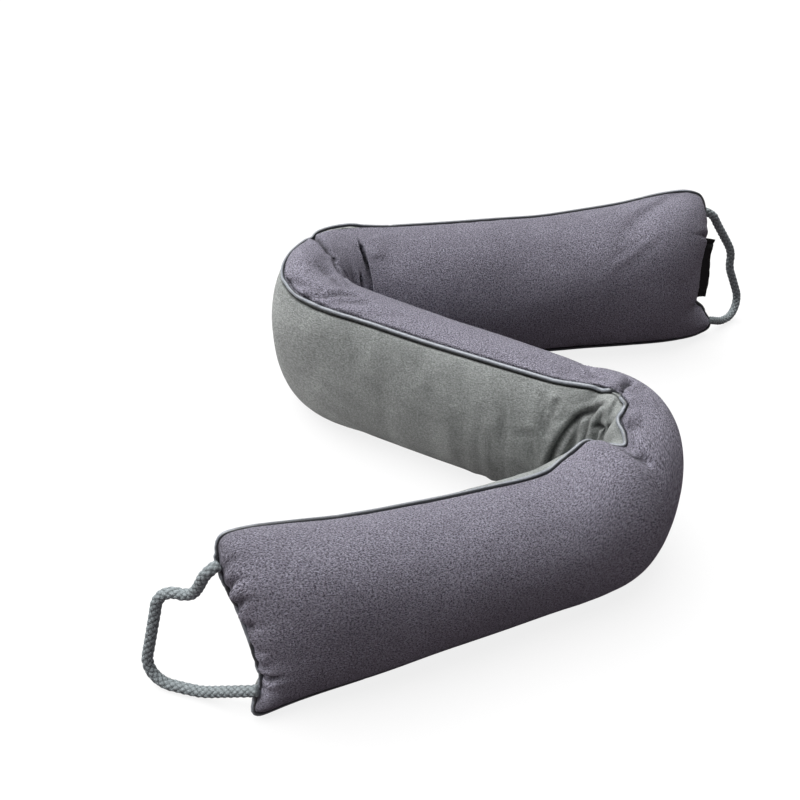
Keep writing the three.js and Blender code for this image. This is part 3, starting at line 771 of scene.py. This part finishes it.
# creases in the cloth: cloth, points of (along, share round), depth, width, lip beside it;
# less than 0 deep is a ridge
creaseSet = [
    # left bend: the long crease from the seam, the two slits and the soft waves beside them
    ("front", [
        (588, 0.0), (585, 0.11), (579.5, 0.23), (574, 0.36), (571, 0.42), (556, 0.435), (535, 0.385),
        (517, 0.25),
    ], 3.6, 1.8, 0.5),
    ("front", [(572, 0.36), (556, 0.31), (536, 0.27), (510, 0.22)], 2.4, 9.0, 0.0),
    ("front", [
        (612.5, 0.16), (613.5, 0.25), (614.5, 0.378), (616, 0.467), (617, 0.6), (618, 0.8),
    ], 9.0, 1.15, 1.2),
    ("front", [(602, 0.46), (600, 0.55), (598, 0.7)], 6.0, 1.1, 0.8),
    ("front", [(626, 0.14), (628, 0.22), (627, 0.34)], -1.4, 7.0, 0.0),
    ("front", [(560, 0.22), (551, 0.27), (539, 0.3), (520, 0.22)], 1.0, 2.8, 0.4),
    ("front", [(549, 0.02), (540, 0.056), (525, 0.1)], 1.8, 2.8, 0.8),
    ("front", [(532, 0.02), (523, 0.067), (514, 0.133), (503, 0.17)], 2.4, 2.8, 1.2),
    ("front", [(521, 0.02), (510, 0.083), (494, 0.12)], 1.7, 3.2, 0.8),
    ("front", [(492, 0.02), (476, 0.078), (462, 0.142)], 0.9, 3.6, 0.4),
    # right bend: the long dark fold, the bulge with its hooked pleats, the outside's dimples
    ("back", [
        (296, 0.07), (307, 0.1), (320, 0.133), (327, 0.194), (332, 0.272), (335, 0.36), (338, 0.48),
    ], 3.4, 2.0, 1.2),
    ("back", [(322, 0.13), (321, 0.22), (323, 0.34)], 1.5, 2.4, 0.5),
    ("back", [(304, 0.1), (312, 0.15), (311, 0.21), (309, 0.32)], 2.2, 1.8, 0.8),
    ("back", [(314, 0.07), (302, 0.075), (291, 0.06)], -3.0, 8.0, 0.0),
    ("back", [(304, 0.2), (301, 0.168), (294, 0.155), (287, 0.165), (284, 0.2)], 2.4, 1.6, 0.7),
    ("back", [(286, 0.14), (280, 0.125), (275, 0.14)], 2.0, 1.6, 0.5),
    ("front", [(299, 0.0), (302, 0.1), (303, 0.18), (305, 0.25)], 4.8, 2.6, 1.2),
    ("front", [(331, 0.04), (327, 0.085), (321, 0.133), (317, 0.19)], 1.6, 3.8, 0.8),
    ("front", [(344, 0.03), (339, 0.1), (334, 0.16)], 1.1, 4.4, 0.5),
    ("front", [(279, 0.05), (284, 0.111), (283, 0.25)], -1.6, 7.0, 0.0),
    ("front", [(263, 0.03), (262, 0.11), (264, 0.19)], 1.8, 3.6, 0.7),
    ("front", [(240, 0.0), (241, 0.03), (243, 0.07), (246, 0.135), (249, 0.2), (252, 0.235)], 3.8, 3.6, 0.9),
    # soft wrinkles down the green cloth
    ("back", [(386, 0.16), (387, 0.65)], 1.0, 3.6, 0.5),
    ("back", [(380, 0.2), (375, 0.45), (376, 0.7)], 1.2, 3.0, 0.6),
    ("back", [(371, 0.16), (368, 0.41), (369, 0.75)], 1.1, 3.0, 0.6),
    ("back", [(360, 0.262), (352, 0.235), (348, 0.289), (343, 0.36)], 1.1, 2.6, 0.5),
    ("back", [(349, 0.06), (345, 0.13), (344, 0.22)], 1.3, 2.8, 0.6),
    ("back", [(338, 0.07), (339, 0.14), (341, 0.24)], 1.3, 2.6, 0.6),
    ("back", [(398, 0.2), (400, 0.6)], 0.8, 4.5, 0.4),
    ("back", [(470, 0.1), (462, 0.35), (466, 0.6)], 0.7, 6.0, 0.3),
    ("back", [(430, 0.15), (424, 0.5)], 0.6, 6.0, 0.3),
    # end seams
    ("front", [(4.2, 0.74), (8, 0.732), (15, 0.738), (30, 0.755)], 6.0, 2.0, 1.6),
    ("front", [(914, 0.345), (900, 0.355), (892, 0.365), (876, 0.375)], 3.6, 2.0, 1.0),
    ("front", [(914, 0.7), (902, 0.7), (888, 0.71)], 3.0, 2.2, 0.9),
]
creaseShape = {
    "within": 30,  # how far along the cushion a crease can reach past its points
    "steps": 6,  # between two of its points
    "openShare": 0.3, "closeShare": 0.2,  # of its length, to deepen and to run out
    "nearSeam": 0.03, "nearEnd": 12,  # a crease that starts in a seam is open there
    "endFade": 1.5,
    "narrow": 0.65,  # width where it runs out, share of its width
    # darkWidth and dark give the width and strength of the painted shade along a crease
    "lipAt": 2.3, "lipWidth": 1.3, "darkWidth": 0.8,  # in widths
    "dark": 0.45,
}
# puckers where the cloth is gathered into the end seams: share of each pocket, how far it runs, how deep
puckerSet = {
    "left": [
        (0.24, 9, 0.8), (0.33, 14, 3.2), (0.41, 16, 4.0), (0.505, 18, 4.0), (0.6, 14, 1.8), (0.67, 10, 1.0),
    ],
    "right": [
        (0.16, 10, 0.6), (0.26, 12, 0.8), (0.46, 8, 0.4), (0.58, 8, 0.4), (0.8, 12, 0.8), (0.88, 10, 0.6),
    ],
    "backTurned": 0.04,
    "mouth": ((0.4, 0), (6, 0.004)), "endLean": 0.02,  # how a pocket leans as it runs
    "width": 2.0, "lip": 0.5,
    "lobe": 2.0, "lobeDeep": 3,  # how far the cloth bulges out between two pockets of that depth
    "lobeRun": (1.5, 4, 9), "lobeWidth": 4.2,
}
seamSet = {
    "groove": 1.5, "width": 1.5, "beside": 2.2, "apart": 2.1, "besideWidth": 0.9, "fromEnd": 10,
    "shade": 0.9, "shadeWidth": 0.72, "shadeFromEnd": 3,
}
lumpSet = {"size": 0.7, "apart": 46.0, "fromEnd": 20}


def endPuckers():
    rows = []
    trim = cushion["endTrim"]
    for name, edge, inward in (("left", trim, 1), ("right", cushion["length"] - trim, -1)):
        pockets = puckerSet[name]
        for cloth, turned in (("front", 0.0), ("back", puckerSet["backTurned"])):
            for share, run, deep in pockets:
                leans = (*puckerSet["mouth"], (run, puckerSet["endLean"]))
                stops = [(edge + inward * far, share + turned + lean) for far, lean in leans]
                rows.append((cloth, stops, deep, puckerSet["width"], puckerSet["lip"]))
            for (first, _, deep), (second, _, deeper) in zip(pockets, pockets[1:]):
                middle = (first + second) / 2 + turned
                stops = [(edge + inward * far, middle) for far in puckerSet["lobeRun"]]
                bulge = -puckerSet["lobe"] * min(deep, deeper) / puckerSet["lobeDeep"]
                rows.append((cloth, stops, bulge, puckerSet["lobeWidth"], 0.0))
    return rows


def alongCrease(points, s, share, cloth, stops):
    sAt, shareAt = np.array(stops, float).T
    count = len(stops)
    t = np.linspace(0, count - 1, creaseShape["steps"] * (count - 1) + 1)
    sLine = column({"at": np.arange(count), "row": sAt}, "row", t)
    shareLine = column({"at": np.arange(count), "row": shareAt}, "row", t)
    half, ringSize = points.shape[1] // 2, points.shape[1]
    i = np.interp(sLine, s[:, 0], np.arange(len(s)))
    if cloth == "front":
        j = np.interp(shareLine, np.append(share[0][:half], 1), np.arange(half + 1))
    else:
        j = np.interp(-shareLine, -np.append(share[0][half:], 0), np.arange(half, ringSize + 1))
    low, left = np.minimum(i.astype(int), len(s) - 2), j.astype(int)
    u, v = (i - low)[:, None], (j - left)[:, None]
    near, far = left % ringSize, (left + 1) % ringSize
    return (
        (1 - u) * ((1 - v) * points[low, near] + v * points[low, far])
        + u * ((1 - v) * points[low + 1, near] + v * points[low + 1, far])
    ), sLine


def creaseDepth(points, s, share, isBack):
    depth, paintedShade = np.zeros(points.shape[:2]), np.zeros(points.shape[:2])
    for cloth, stops, deep, wide, lip in creaseSet + endPuckers():
        line, sLine = alongCrease(points, s, share, cloth, stops)
        columns = np.flatnonzero(isBack[0] == (cloth == "back"))
        reach = (sLine.min() - creaseShape["within"], sLine.max() + creaseShape["within"])
        part = slice(*np.searchsorted(s[:, 0], reach)), slice(columns[0], columns[-1] + 1)
        cloths = points[part]
        away, place = np.full(cloths.shape[:2], 1e9), np.zeros(cloths.shape[:2])
        for k in range(len(line) - 1):
            step = line[k + 1] - line[k]
            u = np.clip(((cloths - line[k]) @ step) / max(step @ step, 1e-9), 0, 1)
            gap = np.linalg.norm(cloths - line[k] - u[..., None] * step, axis=-1)
            place = np.where(gap < away, (k + u) / (len(line) - 1), place)
            away = np.minimum(gap, away)
        atEnd = min(stops[0][0], cushion["length"] - stops[0][0]) < creaseShape["nearEnd"]
        atSeam = 1.0 if atEnd or stops[0][1] < creaseShape["nearSeam"] else 0.0
        rest = 1 - place
        runsOut = rest ** creaseShape["endFade"] if atEnd else ease(rest / creaseShape["closeShare"])
        taper = np.maximum(ease(place / creaseShape["openShare"]), atSeam) * runsOut
        width = wide * (creaseShape["narrow"] + (1 - creaseShape["narrow"]) * taper)
        beside = np.exp(-((away - creaseShape["lipAt"] * width) / (creaseShape["lipWidth"] * width)) ** 2)
        depth[part] += taper * (deep * np.exp(-(away / width) ** 2) - lip * beside)
        # painted shade: a deep, narrow crease darkens the cloth's colour along its bottom
        sharp = min(max(creaseShape["dark"] * deep / wide, 0), 1)
        paintedShade[part] += taper * sharp * np.exp(-(away / (creaseShape["darkWidth"] * width)) ** 2)
    return depth, paintedShade


def makeCover():
    s, share, isBack = coverGrid(1.0, gridSet["round"])
    points = coverPoints(s, share, isBack, slack=fillSet["slack"])
    fromEnd = np.minimum(s, cushion["length"] - s) - cushion["endTrim"]
    loose = fillSet["atEnds"] + (1 - fillSet["atEnds"]) * ease(fromEnd / fillSet["freeFrom"])
    points = points + onFineGrid(*fillCover(), s, share, isBack) * loose[..., None]
    fromSeam = np.minimum(share, 1 - share) * cushion["clothWidth"]
    fromStitches = fromSeam - seamSet["apart"]
    groove = seamSet["groove"] * np.exp(-(fromSeam / seamSet["width"]) ** 2)
    groove = groove + seamSet["beside"] * np.exp(-(fromStitches / seamSet["besideWidth"]) ** 2)
    groove = groove * ease(fromEnd / seamSet["fromEnd"])
    lumps = np.array([noise.noise(Vector(p) / lumpSet["apart"]) for p in points.reshape(-1, 3)])
    lumps = lumpSet["size"] * lumps.reshape(groove.shape) * ease(fromEnd / lumpSet["fromEnd"])
    creased, paintedShade = creaseDepth(points, s, share, isBack)
    # painted shade in the groove on each side of the piping
    seamShade = seamSet["shade"] * np.exp(-(fromStitches / seamSet["shadeWidth"]) ** 2)
    paintedShade = np.clip(paintedShade + seamShade * ease(fromEnd / seamSet["shadeFromEnd"]), 0, 1)
    inward = groove + creased - lumps
    points = points - gridNormals(points) * inward[..., None]
    points[..., 2] = np.maximum(points[..., 2], 0)

    ringSize = points.shape[1]
    piece = newMesh("cushionCover", points.reshape(-1, 3) * mm, coverFaces(len(s), ringSize))
    mesh = piece.data
    shadeSmooth(mesh)
    mesh.materials.append(mauveCloth)
    mesh.materials.append(greenCloth)
    half = ringSize // 2
    placeRound = np.arange(len(mesh.polygons)) % ringSize
    placeRound[-ringSize:] = 0  # the faces along the end seams
    mesh.polygons.foreach_set("material_index", (placeRound >= half).astype(np.int32))
    t = np.append(share[0][:half], 1.0) * cushion["clothWidth"]
    v = np.concatenate([np.stack([t[:-1], t[1:]], 1), -np.stack([t[:0:-1], t[-2::-1]], 1)])
    u = np.stack([s[:-1, 0], s[1:, 0]], 1)
    uv = np.zeros((len(s) - 1, ringSize, 4, 2))
    uv[..., 0] = u[:, None, [0, 0, 1, 1]]
    uv[..., 1] = v[None][..., [0, 1, 1, 0]]
    flat = np.zeros(len(mesh.loops) * 2)
    flat[:uv.size] = uv.reshape(-1) * mm
    mesh.uv_layers.new(name="cut").data.foreach_set("uv", flat.astype(np.float32))
    # the painted shade of the creases and the seam, read by the cloth materials
    pointValues(mesh, "paintedShade", paintedShade.reshape(-1))
    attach(piece, "root")
    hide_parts("filled_cover")
    print("cover made,", len(mesh.polygons), "faces")
    return points, s[:, 0]


coverRings, coverAlong = makeCover()


# piping along the top seam, round the right end, along the bottom seam and round the left end
pipingSet = {
    "diameter": 2.9, "proud": 1.75, "sides": 16, "endGap": 1.3, "nearest": 1.5, "evenOver": 4,
    "offFloor": 0.05,
    "beside": (-3, -2, 2, 3),  # steps round the cover where its way out is taken
    "outOver": 3,  # steps along it over which that way is drawn even
    # how far the folds in the bends push it out or cover it
    "pushed": {
        "at": (0, 238, 243, 249, 254, 262, 268, 280, 288, 586, 594, 612, 622, 920),
        "out": (0, 0, -1, -1, 0, 0.4, 0.9, 0.9, 0, 0, 1.1, 1.1, 0, 0),
    },
}


def endSeam(points, atRight):  # the middle of the end's cloth, the way out of the cushion and the way back
    ring = points[-1 if atRight else 0]
    half = len(ring) // 2
    fronts, backs = ring[1:half], ring[:half:-1]
    middle = (fronts + backs) / 2
    down = np.gradient(middle, axis=0)
    out = np.cross(down, backs - fronts) * (1 if atRight else -1)
    return middle, unit(out), unit(backs - fronts)


def wayOut(normals, place):  # out from the seam, by the cloths just beside it
    return unit(normals[1:-1, [place + k for k in pipingSet["beside"]]].mean(axis=1))


def pipingLine(points):
    half = points.shape[1] // 2
    normals = gridNormals(points)
    reach = pipingSet["proud"]
    pushed = column(pipingSet["pushed"], "out", coverAlong[1:-1])
    top = points[1:-1, 0] + (reach + pushed)[:, None] * wayOut(normals, 0)
    bottom = points[1:-1, half] + reach * wayOut(normals, half)
    ends = []
    for atRight in (True, False):
        middle, out, _ = endSeam(points, atRight)
        ends.append(middle + pipingSet["endGap"] * out)
    line = np.vstack([top, ends[0], bottom[::-1], ends[1][::-1]])
    nearest = np.full(len(line), pipingSet["nearest"])
    nearest[:len(top)] += np.maximum(pushed, 0)
    near = nearestOf(points.reshape(-1, 3))
    for _ in range(pipingSet["evenOver"]):  # pulled up close to the cloth and drawn even
        line = (np.roll(line, 1, 0) + 2 * line + np.roll(line, -1, 0)) / 4
        for k, point in enumerate(line):
            cloth, _, gap = near.find(point)
            if gap > nearest[k]:
                line[k] = point + (np.array(cloth) - point) * (1 - nearest[k] / gap)
    line[:, 2] = np.maximum(line[:, 2], pipingSet["diameter"] / 2 + pipingSet["offFloor"])
    outward = np.array([point - np.array(near.find(point)[0]) for point in line])
    outward = sum(np.roll(outward, k, 0) for k in range(-pipingSet["outOver"], pipingSet["outOver"] + 1))
    return line, unit(outward)


def pipingTree():
    tree, given, made = newGroup(
        "pipingAlongSeam",
        {"Seam": "Geometry", "Radius": "Float", "Sides": "Int", "Cloth": "Material"},
        {"Piping": "Geometry"}, "GeometryNodeTree",
    )

    def step(kind, inputs, **settings):
        return addNode(tree, "GeometryNode" + kind, inputs, **settings).outputs[0]

    along = addNode(tree, "GeometryNodeSplineParameter").outputs["Length"]
    seam = step("MeshToCurve", {"Mesh": given["Seam"]})
    marks = {"Geometry": seam, "Name": "along", "Value": along}
    marked = step("StoreNamedAttribute", marks, data_type="FLOAT")
    profile = step("CurvePrimitiveCircle", {"Resolution": given["Sides"], "Radius": given["Radius"]})
    swept = step("CurveToMesh", {"Curve": marked, "Profile Curve": profile})
    smooth = step("SetShadeSmooth", {"Geometry": swept})
    real = step("RealizeInstances", {"Geometry": smooth})
    dressed = step("SetMaterial", {"Geometry": real, "Material": given["Cloth"]})
    tree.links.new(dressed, made["Piping"])
    return tree


def makePiping():
    line, outward = pipingLine(coverRings)
    line = line * mm
    count = len(line)
    guide = newMesh("seamLine", line, [], [(i, (i + 1) % count) for i in range(count)])
    tree = pipingTree()
    sweep = guide.modifiers.new("piping", "NODES")
    sweep.node_group = tree
    values = {"Radius": pipingSet["diameter"] / 2 * mm, "Sides": pipingSet["sides"], "Cloth": pipingCloth}
    for socket in tree.interface.items_tree:
        if socket.name in values:
            sweep[socket.identifier] = values[socket.name]
    made = guide.evaluated_get(bpy.context.evaluated_depsgraph_get())
    mesh = bpy.data.meshes.new_from_object(made)
    bpy.data.objects.remove(guide, do_unlink=True)
    piece = newObject("seamPiping", mesh)
    nearLine = nearestOf(line)
    # crest drives the piping's painted highlight on its outer side and painted shade on its flanks
    crest = []  # 1 on the cord's outer side, less in the seam
    for vertex in mesh.vertices:
        centre, nearest, _ = nearLine.find(vertex.co)
        crest.append((vertex.co - centre).normalized().dot(Vector(outward[nearest])))
    pointValues(mesh, "crest", crest)
    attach(piece, "root")
    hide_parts("piping")
    print("piping made,", len(mesh.polygons), "faces")


makePiping()


# the bare tab, a woven strip folded once and sewn into the right end seam
tabSet = {
    "along": 55.0, "out": 10.0, "middle": 63.5, "layer": 0.4, "between": 0.15,
    "inFront": 2.5, "startOut": 0.8, "curl": 1.6, "ripple": 0.25, "ripples": 9.0,
    "rows": 41, "columns": 48,
}


def makeTab():
    middle, out, across = endSeam(coverRings, True)
    rows, wide = tabSet["rows"], tabSet["columns"]
    z = tabSet["middle"] + tabSet["along"] * (0.5 - np.arange(rows) / (rows - 1))
    at, outward, back = [
        np.stack([np.interp(-z, -middle[:, 2], field[:, k]) for k in range(3)], -1)
        for field in (middle, out, across)
    ]
    turn = (tabSet["layer"] + tabSet["between"]) / 2  # the fold's radius, at the middle of the layer
    straight = tabSet["out"] - turn
    lengthOfFold = math.pi * turn
    total = 2 * straight + lengthOfFold
    t = np.linspace(0, total, wide)
    angle = np.clip((t - straight) / turn, 0, math.pi)
    inFront, behind = t < straight, t > straight + lengthOfFold
    outPlace = np.where(inFront, t, np.where(behind, total - t, straight + turn * np.sin(angle)))
    depth = np.where(inFront, turn, np.where(behind, -turn, turn * np.cos(angle)))
    side = np.stack([-np.cos(angle), np.sin(angle)], -1)  # outward side of the strip: front, fold, back
    shells = []
    for layer in (0.5, -0.5):
        o = outPlace + layer * tabSet["layer"] * side[:, 1]
        d = depth - layer * tabSet["layer"] * side[:, 0]
        bow = tabSet["curl"] * (o / tabSet["out"]) ** 2
        forward = tabSet["inFront"] + d + bow
        waves = tabSet["ripple"] * np.sin(np.arange(rows) / rows * tabSet["ripples"])
        ripple = waves[:, None] * (o / tabSet["out"])[None]
        shells.append(
            at[:, None] + outward[:, None] * (tabSet["startOut"] + o)[None, :, None]
            - back[:, None] * (forward[None] + ripple)[..., None]
        )
    points = np.concatenate([shell.reshape(-1, 3) for shell in shells]) * mm
    shellSize = rows * wide
    grid = np.arange(shellSize).reshape(rows, wide)
    a, b, c, d = grid[:-1, :-1], grid[:-1, 1:], grid[1:, 1:], grid[1:, :-1]
    both = np.stack([a, d, c, b], -1), shellSize + np.stack([a, b, c, d], -1)
    faces = np.stack(both, 2).reshape(-1, 4).tolist()
    rim = np.concatenate([grid[0], grid[1:, -1], grid[-1, -2::-1], grid[-2:0:-1, 0]]).tolist()
    for a, b in zip(rim, rim[1:] + rim[:1]):
        faces.append((a, b, shellSize + b, shellSize + a))
    piece = newMesh("bareTab", points, faces)
    shadeSmooth(piece.data)
    flat = np.zeros((2, rows, wide, 3))
    flat[..., 0] = t
    flat[..., 1] = z[:, None]
    pointValues(piece.data, "place", (flat * mm).reshape(-1, 3))
    piece.data.materials.append(tabWeave)
    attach(piece, "root")
    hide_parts("bare_tab")
    print("tab made, cut", tabSet["along"], "by", round(total, 1), "mm")


makeTab()
